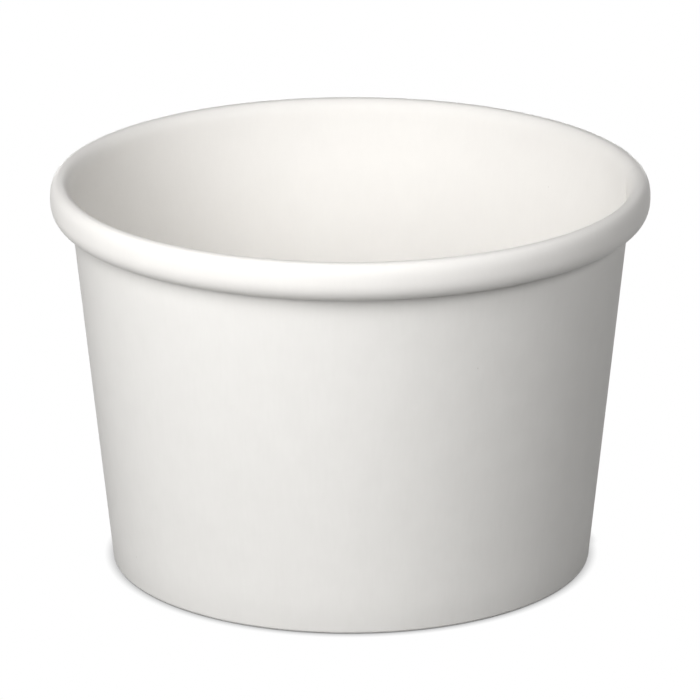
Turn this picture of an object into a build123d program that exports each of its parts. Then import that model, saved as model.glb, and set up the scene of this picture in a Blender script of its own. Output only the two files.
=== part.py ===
"""Squat paper sundae cup: a tapered board side wall with a rolled rim, a lapped side seam
and a folded foot, and a pressed board bottom whose skirt is held in that fold."""

import os
from math import atan2, cos, degrees, hypot, radians, sin, tan

from build123d import *

# Driving dimensions of the cup, in millimetres
cup_height = 63.5  # table to the top of the rim
rim_diameter = 96.0  # over the rolled rim, at its widest
rim_depth = 6.6  # top of the roll to where its edge meets the wall
rim_shoulder = 3.0  # top of the roll to its widest
rim_overhang = 3.4  # from the wall under the roll out to the roll's widest
base_diameter = 77.4  # over the foot
floor_height = 6.5  # table to the floor that the contents lie on

# Board
wall_board = 0.42  # thickness of the side wall's board
bottom_board = 0.36  # thickness of the bottom's board
bond_gap = 0.02  # coating left between two sealed faces

# Rolled rim
tuck_gap = 0.2  # between the roll's edge and the wall
roll_flats = 4  # flats in each of the three bends that make up its round

# Foot and bottom
foot_bevel = 0.2  # of the two folds under the foot
bend_bevel = 0.9  # of the bend from the floor to the skirt
flap_gap = 0.3  # from the flap's edge up to that bend
skirt_gap = 0.15  # from the skirt's edge down to the fold

# Side seam
seam_angle = 12.0  # bearing of the middle of the lap from +X, in degrees
lap_width = 8.0  # overlap of the board's two ends, at the foot
ramp_width = 1.6  # over which the outer ply climbs onto the inner one
ramp_edge = 0.03  # step that the ramp starts with

# The wall's slope, from the foot to the bottom of the roll
rim_radius = rim_diameter / 2
base_radius = base_diameter / 2
wall_rise = cup_height - rim_depth
wall_run = rim_radius - rim_overhang - base_radius
slope = wall_run / wall_rise
taper = atan2(wall_run, wall_rise)


def on_wall(depth, height):
    """Point of the section at this height, on the line that runs depth outside the wall's inner face."""
    return Vector(base_radius + height * slope + (depth - wall_board) / cos(taper), height)


# The roll's upper half is half an ellipse that leaves the wall's inner face along its slope
widest_height = cup_height - rim_shoulder
crown_room = rim_radius - on_wall(0, widest_height).X
crown_width = (crown_room**2 - (rim_shoulder * slope) ** 2) / (2 * crown_room)
crown_center = Vector(rim_radius - crown_width, widest_height)
crown_turn = 180 - degrees(taper)

# Its lower part is a round that brings the board's edge back to the wall
hem_run = rim_overhang - tuck_gap
hem_drop = rim_depth - rim_shoulder
hem_radius = (hem_run**2 + hem_drop**2) / (2 * hem_run)
hem_center = Vector(rim_radius - hem_radius, widest_height)
hem_turn = 2 * degrees(atan2(hem_run, hem_drop))


def on_roll(depth, facing):
    """Point of the roll whose face looks this many degrees above level, depth behind that face."""
    look = Vector(cos(radians(facing)), sin(radians(facing)))
    center, width, height = hem_center, hem_radius, hem_radius
    if facing > 0:
        center, width, height = crown_center, crown_width, rim_shoulder
    reach = hypot(width * look.X, height * look.Y)
    return center + Vector(width**2 * look.X, height**2 * look.Y) / reach - look * depth


bends = [(crown_turn, 90), (90, 0), (0, -hem_turn)]
roll_facings = [start + (end - start) * k / roll_flats for start, end in bends for k in range(roll_flats)]
roll_facings.append(-hem_turn)
hollow_facings = roll_facings[:0:-2]  # the hidden hollow has half as many flats
lip_height = on_roll(0, crown_turn).Y

# The foot's fold holds the bottom's skirt between the wall and the flap
skirt_space = bottom_board + 2 * bond_gap
flap_depth = skirt_space + wall_board
bend_miter = bottom_board * tan(radians(45 / 2))
flap_height = floor_height - bend_bevel - bend_miter - flap_gap
skirt_height = wall_board + skirt_gap


def draw_layer(near, far, foot):
    """Draw the outline of a layer along the wall, between two depths from its inner face, up to the roll."""
    Polyline(
        on_wall(near, foot),
        on_wall(far, foot),
        on_wall(far, lip_height),
        on_wall(near, lip_height),
        close=True,
    )


def radial_plane(angle):
    """Upright plane through the cup's axis, at this bearing from +X."""
    bearing = radians(angle)
    return Plane(
        origin=(0, 0, 0),
        x_dir=(cos(bearing), sin(bearing), 0),
        z_dir=(sin(bearing), -cos(bearing), 0),
    )


lap_angle = degrees(lap_width / base_radius)
ramp_angle = degrees(ramp_width / base_radius)
lap_start = seam_angle - lap_angle / 2

# Side wall: one board, folded at the foot, rolled at the rim and lapped at the seam
with BuildPart() as side_wall:
    with BuildSketch(Plane.XZ) as board_section:
        with BuildLine() as board_outline:
            inner_face = Polyline(
                on_wall(-skirt_space, flap_height),
                on_wall(-skirt_space, wall_board),
                on_wall(0, wall_board),
                *[on_roll(0, facing) for facing in roll_facings],
            )
            outer_face = Polyline(
                *[on_roll(wall_board, facing) for facing in hollow_facings],
                on_wall(wall_board, lip_height),
                on_wall(wall_board, foot_bevel),
                on_wall(wall_board, 0) - Vector(foot_bevel, 0),
                on_wall(-flap_depth, 0) + Vector(foot_bevel, 0),
                on_wall(-flap_depth, foot_bevel),
                on_wall(-flap_depth, flap_height),
            )
            Line(inner_face @ 1, outer_face @ 0)
            Line(outer_face @ 1, inner_face @ 0)
        make_face()
    revolve(axis=Axis.Z)

    # Outer ply of the lap, bedded in the wall, and the ramp on which it climbs there
    with BuildSketch(radial_plane(lap_start)) as lap_section:
        with BuildLine() as lap_outline:
            draw_layer(wall_board / 2, 2 * wall_board, 0)
        make_face()
    revolve(axis=Axis.Z, revolution_arc=lap_angle)
    with BuildSketch(radial_plane(lap_start - ramp_angle)) as ramp_section:
        with BuildLine() as ramp_outline:
            draw_layer(wall_board / 2, wall_board + ramp_edge, 0)
        make_face()
    loft([ramp_section.sketch, lap_section.sketch], ruled=True)

    # Groove under the ramp, which shows the inner ply's cut edge inside the cup
    with BuildSketch(radial_plane(lap_start)) as edge_section:
        with BuildLine() as edge_outline:
            draw_layer(-skirt_space / 2, wall_board, wall_board)
        make_face()
    with BuildSketch(radial_plane(lap_start - ramp_angle)) as groove_section:
        with BuildLine() as groove_outline:
            draw_layer(-skirt_space / 2, ramp_edge, wall_board)
        make_face()
    loft([groove_section.sketch, edge_section.sketch], ruled=True, mode=Mode.SUBTRACT)
side_wall.part.label = "side_wall"

# Bottom: a pressed disc with its edge turned down into the foot's fold
with BuildPart() as bottom_disc:
    with BuildSketch(Plane.XZ) as bottom_section:
        with BuildLine() as bottom_outline:
            floor_edge = on_wall(-bond_gap, floor_height)
            Polyline(
                (0, floor_height),
                floor_edge - Vector(bend_bevel, 0),
                on_wall(-bond_gap, floor_height - bend_bevel),
                on_wall(-bond_gap, skirt_height),
                on_wall(bond_gap - skirt_space, skirt_height),
                on_wall(bond_gap - skirt_space, floor_height - bend_bevel - bend_miter),
                floor_edge - Vector(bend_bevel + bend_miter, bottom_board),
                (0, floor_height - bottom_board),
                close=True,
            )
        make_face()
    revolve(axis=Axis.Z)
bottom_disc.part.label = "bottom_disc"

os.makedirs("parts", exist_ok=True)
export_step(side_wall.part, "parts/side_wall.step")
export_step(bottom_disc.part, "parts/bottom_disc.step")
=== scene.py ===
from math import atan2, copysign, cos, hypot, pi, radians, sin

import bmesh
import bpy
from mathutils import Matrix, Vector


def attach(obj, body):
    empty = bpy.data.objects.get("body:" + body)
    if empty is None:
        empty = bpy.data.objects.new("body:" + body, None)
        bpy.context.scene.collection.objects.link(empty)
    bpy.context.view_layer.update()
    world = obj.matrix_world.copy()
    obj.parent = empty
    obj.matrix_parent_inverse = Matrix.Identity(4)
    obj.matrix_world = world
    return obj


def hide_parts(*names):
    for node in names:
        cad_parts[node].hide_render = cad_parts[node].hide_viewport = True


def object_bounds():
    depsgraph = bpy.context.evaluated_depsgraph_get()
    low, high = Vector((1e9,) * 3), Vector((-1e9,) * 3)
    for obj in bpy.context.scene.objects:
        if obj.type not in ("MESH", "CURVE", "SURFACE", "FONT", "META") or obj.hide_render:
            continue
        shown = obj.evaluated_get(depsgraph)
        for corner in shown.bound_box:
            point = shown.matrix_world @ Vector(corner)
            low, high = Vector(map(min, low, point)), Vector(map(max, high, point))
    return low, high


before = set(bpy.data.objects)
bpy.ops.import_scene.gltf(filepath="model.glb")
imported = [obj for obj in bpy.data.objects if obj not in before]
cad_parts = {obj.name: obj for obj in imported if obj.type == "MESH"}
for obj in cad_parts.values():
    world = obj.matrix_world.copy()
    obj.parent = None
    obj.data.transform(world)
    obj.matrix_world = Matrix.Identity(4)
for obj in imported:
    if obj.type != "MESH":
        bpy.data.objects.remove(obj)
cadLow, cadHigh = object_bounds()
mm = 0.001
print("frame:", ", ".join(sorted(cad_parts)))

scene = bpy.context.scene
scene.view_settings.view_transform = "Standard"

# the side wall's board: its section gives the line that the bottom follows too
board = {
    "rimRadius": cadHigh.x,
    "height": cadHigh.z,
    "rimDepth": 6.25 * mm,  # top of the roll down to its edge
    "shoulder": 3.0 * mm,  # top of the roll to its widest
    "overhang": 3.4 * mm,  # wall under the roll out to the roll's widest
    "tuckGap": 0.7 * mm,  # between the roll's edge and the wall
    "lipShape": 2,  # an ellipse, from the wall up to the top of the roll
    "crownShape": 2.6,  # more than 2 gives a flatter top and face, with a sharper turn between
    "hemShape": 2.2,  # the same for the turn under the roll
    "baseRadius": 38.7 * mm,  # outside, at the table
    "thickness": 0.42 * mm,
    "sharp": radians(40),  # edges that turn more than this stay crisp
}
wallRise = board["height"] - board["rimDepth"]
slope = (board["rimRadius"] - board["overhang"] - board["baseRadius"]) / wallRise
taper = atan2(slope, 1)


def onWall(depth, height):  # point of the section, depth outside the wall's inner face
    x = board["baseRadius"] + height * slope + (depth - board["thickness"]) / cos(taper)
    return Vector((x, 0, height))


def addPoint(bm, last, place):  # one more point of a section, joined to the last one
    point = bmesh.ops.extrude_vert_indiv(bm, verts=[last])["verts"][0]
    point.co = place
    return point


def addRun(bm, last, place, steps):  # a straight stretch of a section, in even steps
    start = last.co.copy()
    for step in range(1, steps + 1):
        last = addPoint(bm, last, start.lerp(place, step / steps))
    return last


def onRound(center, width, height, turn, shape):  # point of an ellipse, or of a boxier round
    across = copysign(abs(cos(turn)) ** (2 / shape), cos(turn))
    up = copysign(abs(sin(turn)) ** (2 / shape), sin(turn))
    return center + Vector((width * across, 0, height * up))


def addRound(bm, last, center, width, height, turns, shape, steps):  # a round stretch of a section
    for step in range(1, steps + 1):
        turn = turns[0] + (turns[1] - turns[0]) * step / steps
        last = addPoint(bm, last, onRound(center, width, height, turn, shape))
    return last


def roundCorners(bm, corners, size, steps):
    bmesh.ops.bevel(
        bm,
        geom=corners,
        offset=size,
        offset_type="OFFSET",
        segments=steps,
        profile=0.5,
        affect="VERTICES",
        material=-1,
    )


def wrap(bm, line, turn, steps):  # sweep a section round the cup's axis: its far end, and the new points
    before = set(bm.verts)
    swept = bmesh.ops.spin(bm, geom=line, cent=(0, 0, 0), axis=(0, 0, 1), angle=turn, steps=steps)
    return swept["geom_last"], [vert for vert in bm.verts if vert not in before]


def thicken(bm, thickness):  # the modelled face keeps slot 0, the board's other face gets 1, cut edges 2
    faces = set(bm.faces)
    verts = set(bm.verts)
    bmesh.ops.solidify(bm, geom=list(bm.faces), thickness=thickness)
    for face in bm.faces:
        if face not in faces:
            face.material_index = 2 if any(vert in verts for vert in face.verts) else 1
    for edge in bm.edges:
        edge.smooth = len(edge.link_faces) < 2 or edge.calc_face_angle() < board["sharp"]
    return [vert for vert in bm.verts if vert not in verts]


def newPiece(name, bm, node):
    mesh = bpy.data.meshes.new(name)
    bm.to_mesh(mesh)
    bm.free()
    for material in (insideCoat, outsidePaper, cutEdge):  # in the order of thicken's slots
        mesh.materials.append(material)
    for polygon in mesh.polygons:
        polygon.use_smooth = True
    piece = bpy.data.objects.new(name, mesh)
    scene.collection.objects.link(piece)
    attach(piece, "root")
    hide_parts(node)
    print(name, len(mesh.polygons), "faces")


def mathNode(tree, operation, *values):  # one step of arithmetic between sockets and numbers
    node = tree.nodes.new("ShaderNodeMath")
    node.operation = operation
    for socket, value in zip(node.inputs, values):
        if isinstance(value, bpy.types.NodeSocket):
            tree.links.new(value, socket)
        else:
            socket.default_value = value
    return node.outputs["Value"]


def noiseNode(tree, place, size, detail, draw=1):  # grains of this size, drawn out along the cup
    mapping = tree.nodes.new("ShaderNodeMapping")
    mapping.inputs["Scale"].default_value = (1 / size, 1 / size, 1 / (size * draw))
    tree.links.new(place, mapping.inputs["Vector"])
    noise = tree.nodes.new("ShaderNodeTexNoise")
    noise.inputs["Scale"].default_value = 1
    noise.inputs["Detail"].default_value = detail
    tree.links.new(mapping.outputs["Vector"], noise.inputs["Vector"])
    return noise.outputs["Fac"]


noiseLow, noiseHigh = 0.3, 0.7  # noise lies mostly between these


def spread(tree, value, low, high):  # opens the noise's own range up to the one given
    node = tree.nodes.new("ShaderNodeMapRange")
    node.inputs["From Min"].default_value = noiseLow
    node.inputs["From Max"].default_value = noiseHigh
    node.inputs["To Min"].default_value = low
    node.inputs["To Max"].default_value = high
    tree.links.new(value, node.inputs["Value"])
    return node.outputs["Result"]


def blendNode(tree, share, first, second):
    node = tree.nodes.new("ShaderNodeMix")
    node.data_type = "RGBA"
    tree.links.new(share, node.inputs["Factor"])
    for socket, colour in ((node.inputs["A"], first), (node.inputs["B"], second)):
        if isinstance(colour, bpy.types.NodeSocket):
            tree.links.new(colour, socket)
        else:
            socket.default_value = (*colour, 1)
    return node.outputs["Result"]


def boardMaterial(name, look):  # cloudy pulp, fibres along the cup and a few specks, with a fine tooth
    material = bpy.data.materials.new(name)
    material.use_nodes = True
    tree = material.node_tree
    shader = tree.nodes["Principled BSDF"]
    shader.inputs["Specular IOR Level"].default_value = look["gloss"]
    place = tree.nodes.new("ShaderNodeTexCoord").outputs["Object"]
    cloud = noiseNode(tree, place, look["cloudSize"], look["cloudDetail"])
    fibre = noiseNode(tree, place, look["fibreSize"], look["fibreDetail"], look["fibreDraw"])
    clouds = mathNode(tree, "MULTIPLY", cloud, look["cloudShare"])
    formation = mathNode(tree, "MULTIPLY_ADD", fibre, 1 - look["cloudShare"], clouds)
    pulp = blendNode(tree, spread(tree, formation, 0, 1), look["deep"], look["pale"])
    cells = tree.nodes.new("ShaderNodeTexVoronoi")
    cells.inputs["Scale"].default_value = 1 / look["speckApart"]
    tree.links.new(place, cells.inputs["Vector"])
    near = mathNode(tree, "LESS_THAN", cells.outputs["Distance"], look["speckSize"] / look["speckApart"])
    chosen = mathNode(tree, "LESS_THAN", cells.outputs["Color"], look["speckShare"])
    speck = mathNode(tree, "MULTIPLY", mathNode(tree, "MULTIPLY", near, chosen), look["speckDepth"])
    tree.links.new(blendNode(tree, speck, pulp, look["speck"]), shader.inputs["Base Color"])
    tree.links.new(spread(tree, formation, *look["roughness"]), shader.inputs["Roughness"])
    tooth = noiseNode(tree, place, look["toothSize"], look["toothDetail"])
    relief = mathNode(tree, "ADD", tooth, mathNode(tree, "MULTIPLY", fibre, look["fibreRelief"]))
    bump = tree.nodes.new("ShaderNodeBump")
    bump.inputs["Strength"].default_value = look["bump"]
    bump.inputs["Distance"].default_value = look["relief"]
    tree.links.new(relief, bump.inputs["Height"])
    tree.links.new(bump.outputs["Normal"], shader.inputs["Normal"])
    return material


bareBoard = {  # the outside, which has no coat
    "pale": (0.92, 0.905, 0.876),
    "deep": (0.89, 0.875, 0.846),
    "speck": (0.62, 0.6, 0.55),
    "gloss": 0.02,
    "roughness": (0.78, 0.66),  # deep to pale
    "cloudSize": 5 * mm,
    "cloudDetail": 5,
    "cloudShare": 0.6,  # of the pulp's tone; fibres give the rest
    "fibreSize": 0.5 * mm,
    "fibreDetail": 3,
    "fibreDraw": 9,  # a fibre's length in widths
    "fibreRelief": 0.6,  # against the tooth's 1
    "speckApart": 3.2 * mm,
    "speckSize": 0.18 * mm,
    "speckShare": 0.16,  # places whose random tone is under this hold one
    "speckDepth": 0.35,
    "toothSize": 0.35 * mm,
    "toothDetail": 2,
    "bump": 0.35,
    "relief": 0.02 * mm,
}
coatedBoard = {  # the inside and the roll's face, under a thin satin coat
    **bareBoard,
    "pale": (0.937, 0.918, 0.888),
    "deep": (0.917, 0.898, 0.868),
    "gloss": 0.04,
    "roughness": (0.58, 0.48),
    "bump": 0.2,
}
cutBoard = {  # raw edges
    **bareBoard,
    "pale": (0.86, 0.84, 0.8),
    "deep": (0.78, 0.755, 0.71),
    "gloss": 0.1,
    "roughness": (0.92, 0.84),
    "cloudSize": 0.8 * mm,
    "fibreSize": 0.16 * mm,
    "bump": 0.6,
}
insideCoat = boardMaterial("insideCoat", coatedBoard)
outsidePaper = boardMaterial("outsidePaper", bareBoard)
cutEdge = boardMaterial("cutEdge", cutBoard)
print("materials:", insideCoat.name, outsidePaper.name, cutEdge.name)

# side wall: one board from the flap round the fold, up the wall and over the roll
seam = {
    "bearing": radians(12),  # middle of the lap, from +X
    "lap": 8.0 * mm / board["baseRadius"],  # lap and ramp are turns round the cup
    "ramp": 1.6 * mm / board["baseRadius"],
    "glue": 0.02 * mm,
    "pressed": 3.0 * mm,  # height over which the inner ply gives way to the outer one at the foot
    "rollPress": 0.9,  # share of the step that rolling the rim presses flat
    "rollFade": 2.5 * mm,  # height over which the step fades on the wall inside the roll
    "skive": 2.0 * mm,  # width over which the inner ply is thinned towards its cut edge
    "skiveShare": 0.85,  # share of its thickness that is taken off there
}
fold = {
    "space": 0.4 * mm,  # for the bottom's skirt
    "flapHeight": 5.15 * mm,
    "round": 0.12 * mm,
    "roundSteps": 4,
}
knurl = {  # marks of the wheel that pressed the flap onto the skirt
    "count": 120,
    "depth": 0.12 * mm,
    "low": 1.0 * mm,
    "high": 4.8 * mm,
}
sideSteps = {
    "lip": 14,  # along the section
    "crown": 18,
    "hem": 20,
    "wall": 11,
    "flap": 7,
    "lap": 16,  # round the cup
    "free": 464,
    "ramp": 4,
}


def boardSection(bm):  # one face of the board: inside on the wall, outside on the roll
    widest = board["height"] - board["shoulder"]
    room = board["rimRadius"] - onWall(0, widest).x
    crownWidth = (room**2 - (board["shoulder"] * slope) ** 2) / (2 * room)  # the wall runs into it smoothly
    crownCenter = Vector((board["rimRadius"] - crownWidth, 0, widest))
    startTurn = atan2(board["shoulder"] * sin(taper), -crownWidth * cos(taper))
    crown = (crownCenter, crownWidth, board["shoulder"])
    lip = bm.verts.new(onRound(*crown, startTurn, board["lipShape"]))
    top = addRound(bm, lip, *crown, (startTurn, pi / 2), board["lipShape"], sideSteps["lip"])
    widestPoint = addRound(bm, top, *crown, (pi / 2, 0), board["crownShape"], sideSteps["crown"])
    hemRun = board["overhang"] - board["tuckGap"]
    hemDrop = board["rimDepth"] - board["shoulder"]
    hem = (Vector((board["rimRadius"] - hemRun, 0, widest)), hemRun, hemDrop)
    addRound(bm, widestPoint, *hem, (0, -pi / 2), board["hemShape"], sideSteps["hem"])
    foot = addRun(bm, lip, onWall(0, board["thickness"]), sideSteps["wall"])
    heel = addPoint(bm, foot, onWall(-fold["space"], board["thickness"]))
    addRun(bm, heel, onWall(-fold["space"], fold["flapHeight"]), sideSteps["flap"])
    roundCorners(bm, [foot, heel], fold["round"], fold["roundSteps"])


def pressKnurl(shell):  # dents in the flap's free face
    for vert in shell:
        radius = hypot(vert.co.x, vert.co.y)
        onFlap = radius < onWall(-fold["space"], vert.co.z).x
        if onFlap and knurl["low"] < vert.co.z < knurl["high"]:
            wave = 0.5 - 0.5 * cos(knurl["count"] * atan2(vert.co.y, vert.co.x))
            outward = Vector((vert.co.x, vert.co.y, 0)) / radius
            vert.co += outward * knurl["depth"] * wave


def pressedFlat(vert):  # share of the seam's step that rolling the rim has taken away here
    if vert.co.z < wallRise:
        return 0
    facing = vert.normal.dot(Vector((vert.co.x, vert.co.y, 0)).normalized())
    high = (vert.co.z - wallRise) / seam["rollFade"]
    return seam["rollPress"] * min(1, max(1 + facing, high))


def turnPast(vert, start):  # turn from the seam's start to here, backwards below zero
    return (atan2(vert.co.y, vert.co.x) - start + pi) % (2 * pi) - pi


def makeSideWall():
    bm = bmesh.new()
    boardSection(bm)
    start = seam["bearing"] - seam["lap"] / 2
    bmesh.ops.rotate(bm, cent=(0, 0, 0), matrix=Matrix.Rotation(start, 3, "Z"), verts=bm.verts)
    line = list(bm.verts) + list(bm.edges)
    innerPly = list(bm.verts)
    line, turned = wrap(bm, line, seam["lap"], sideSteps["lap"])
    innerPly += turned
    line, freeWall = wrap(bm, line, 2 * pi - seam["lap"] - seam["ramp"], sideSteps["free"])
    line, ramp = wrap(bm, line, seam["ramp"], sideSteps["ramp"])
    outerPly = wrap(bm, line, seam["lap"], sideSteps["lap"])[1]
    bmesh.ops.recalc_face_normals(bm, faces=bm.faces)
    bm.normal_update()
    ply = board["thickness"] + seam["glue"]
    for vert in ramp + outerPly:  # the board climbs onto its own first turn
        step = ply * min(1, 1 + turnPast(vert, start) / seam["ramp"]) * (1 - pressedFlat(vert))
        vert.co -= vert.normal * step
        vert.co.z = max(vert.co.z, board["thickness"])
    for vert in innerPly + freeWall:  # and the foot of that turn is pressed up to make room
        past = (atan2(vert.co.y, vert.co.x) - start) % (2 * pi) - seam["lap"]
        give = ply * max(0, 1 - vert.co.z / seam["pressed"])
        vert.co.z += give * min(1, max(0, 1 - past / seam["ramp"]))
    pressKnurl(thicken(bm, board["thickness"]))
    for vert in innerPly:  # inside, the ply thins out towards its edge
        past = turnPast(vert, start) * board["baseRadius"]
        thin = max(0, 1 - past / seam["skive"]) * (1 - pressedFlat(vert))
        vert.co -= vert.normal * board["thickness"] * seam["skiveShare"] * thin
    newPiece("sideWall", bm, "side_wall")


# bottom: a pressed disc with its edge turned down into the fold
bottom = {
    "height": 6.5 * mm,  # its upper face above the table
    "thickness": 0.36 * mm,
    "bend": 0.9 * mm,
    "bendSteps": 6,
    "glue": 0.02 * mm,
    "skirtEdge": 0.57 * mm,  # the skirt's cut edge above the table
    "rings": 10,
    "skirtSteps": 5,
    "steps": 240,
    "merge": 0.002 * mm,  # points closer than this become one, at the disc's middle
}


def makeBottom():
    bm = bmesh.new()
    middle = bm.verts.new((0, 0, bottom["height"]))
    corner = addRun(bm, middle, onWall(-bottom["glue"], bottom["height"]), bottom["rings"])
    addRun(bm, corner, onWall(-bottom["glue"], bottom["skirtEdge"]), bottom["skirtSteps"])
    roundCorners(bm, [corner], bottom["bend"], bottom["bendSteps"])
    section = list(bm.verts) + list(bm.edges)
    bmesh.ops.spin(
        bm,
        geom=section,
        cent=(0, 0, 0),
        axis=(0, 0, 1),
        angle=2 * pi,
        steps=bottom["steps"],
        use_merge=True,
    )
    bmesh.ops.remove_doubles(bm, verts=bm.verts, dist=bottom["merge"])
    bmesh.ops.recalc_face_normals(bm, faces=bm.faces)
    thicken(bm, bottom["thickness"])
    newPiece("bottomDisc", bm, "bottom_disc")


makeSideWall()
makeBottom()

# floor: white to the camera, with the cup's contact shadow; it sends a little light back up the wall
ground = {
    "radius": 2.0,
    "segments": 96,
    "bounce": 0.28,  # how pale it is to the light that falls on it
    "shadowReach": 1.6 * mm,
    "shadowDepth": 0.65,  # more is darker
}


def seenRays(tree):  # 1 for what the camera sees, also by way of gloss or glass
    path = tree.nodes.new("ShaderNodeLightPath").outputs
    seen = mathNode(tree, "MAXIMUM", path["Is Camera Ray"], path["Is Glossy Ray"])
    return mathNode(tree, "MAXIMUM", seen, path["Is Transmission Ray"])


def makeFloor():
    material = bpy.data.materials.new("paleFloor")
    material.use_nodes = True
    tree = material.node_tree
    tree.nodes.clear()
    lit = tree.nodes.new("ShaderNodeBsdfDiffuse")
    lit.inputs["Color"].default_value = (ground["bounce"],) * 3 + (1,)
    nearby = tree.nodes.new("ShaderNodeAmbientOcclusion")
    nearby.inputs["Distance"].default_value = ground["shadowReach"]
    white = tree.nodes.new("ShaderNodeEmission")
    shade = mathNode(tree, "POWER", nearby.outputs["AO"], ground["shadowDepth"])
    tree.links.new(shade, white.inputs["Strength"])
    mix = tree.nodes.new("ShaderNodeMixShader")
    tree.links.new(seenRays(tree), mix.inputs["Fac"])
    tree.links.new(lit.outputs["BSDF"], mix.inputs[1])
    tree.links.new(white.outputs["Emission"], mix.inputs[2])
    output = tree.nodes.new("ShaderNodeOutputMaterial")
    tree.links.new(mix.outputs["Shader"], output.inputs["Surface"])
    bm = bmesh.new()
    bmesh.ops.create_circle(bm, cap_ends=True, segments=ground["segments"], radius=ground["radius"])
    mesh = bpy.data.meshes.new("floor")
    bm.to_mesh(mesh)
    bm.free()
    mesh.materials.append(material)
    floor = bpy.data.objects.new("floor", mesh)
    scene.collection.objects.link(floor)
    print("floor:", ground["radius"], "m")


makeFloor()

# studio: a near key high on the left, a lower lamp beside it, a fill on the right and a strip for the back,
# with bearing and rise in degrees, lengths in metres and power in watts
lamps = {
    "key": {"bearing": -36, "rise": 37, "distance": 0.4, "wide": 0.25, "tall": 0.2, "power": 1.15},
    "low": {"bearing": -24, "rise": 18, "distance": 0.9, "wide": 0.4, "tall": 0.3, "power": 2.3},
    "fill": {"bearing": 58, "rise": 32, "distance": 0.9, "wide": 0.4, "tall": 0.4, "power": 2.45},
    "back": {"bearing": 180, "rise": 0, "distance": 0.7, "wide": 0.5, "tall": 0.05, "power": 2.6},
}


def addLamp(name, look):  # bearing goes round the cup from the camera's side, rise up from the floor
    data = bpy.data.lights.new(name, "AREA")
    data.shape = "RECTANGLE"
    data.size = look["wide"]
    data.size_y = look["tall"]
    data.energy = look["power"]
    lamp = bpy.data.objects.new(name, data)
    bearing = radians(look["bearing"])
    rise = radians(look["rise"])
    away = Vector((sin(bearing) * cos(rise), -cos(bearing) * cos(rise), sin(rise)))
    place = Vector((0, 0, board["height"] / 2)) + away * look["distance"]
    lamp.matrix_world = Matrix.Translation(place) @ away.to_track_quat("Z", "Y").to_matrix().to_4x4()
    scene.collection.objects.link(lamp)


for name, look in lamps.items():
    addLamp(name, look)
world = bpy.data.worlds.new("studio")
world.use_nodes = True
backdrop = world.node_tree.nodes["Background"]
backdrop.inputs["Color"].default_value = (1, 1, 1, 1)
world.node_tree.links.new(seenRays(world.node_tree), backdrop.inputs["Strength"])
scene.world = world
print("lamps:", ", ".join(lamps))

# camera, looking down at the cup from the front
view = {
    "place": (-0.1 * mm, -900 * mm, 330.3 * mm),
    "pitch": 0.3178,  # radians below level
    "roll": 0.0024,  # radians clockwise
    "lens": 301.8,  # millimetres, as is the sensor
    "sensor": 36,
}
cameraData = bpy.data.cameras.new("camera")
cameraData.lens = view["lens"]
cameraData.sensor_width = view["sensor"]
camera = bpy.data.objects.new("camera", cameraData)
camera.matrix_world = (
    Matrix.Translation(view["place"])
    @ Matrix.Rotation(pi / 2 - view["pitch"], 4, "X")
    @ Matrix.Rotation(-view["roll"], 4, "Z")
)
scene.collection.objects.link(camera)
scene.camera = camera
print("camera:", view["lens"], "mm lens")
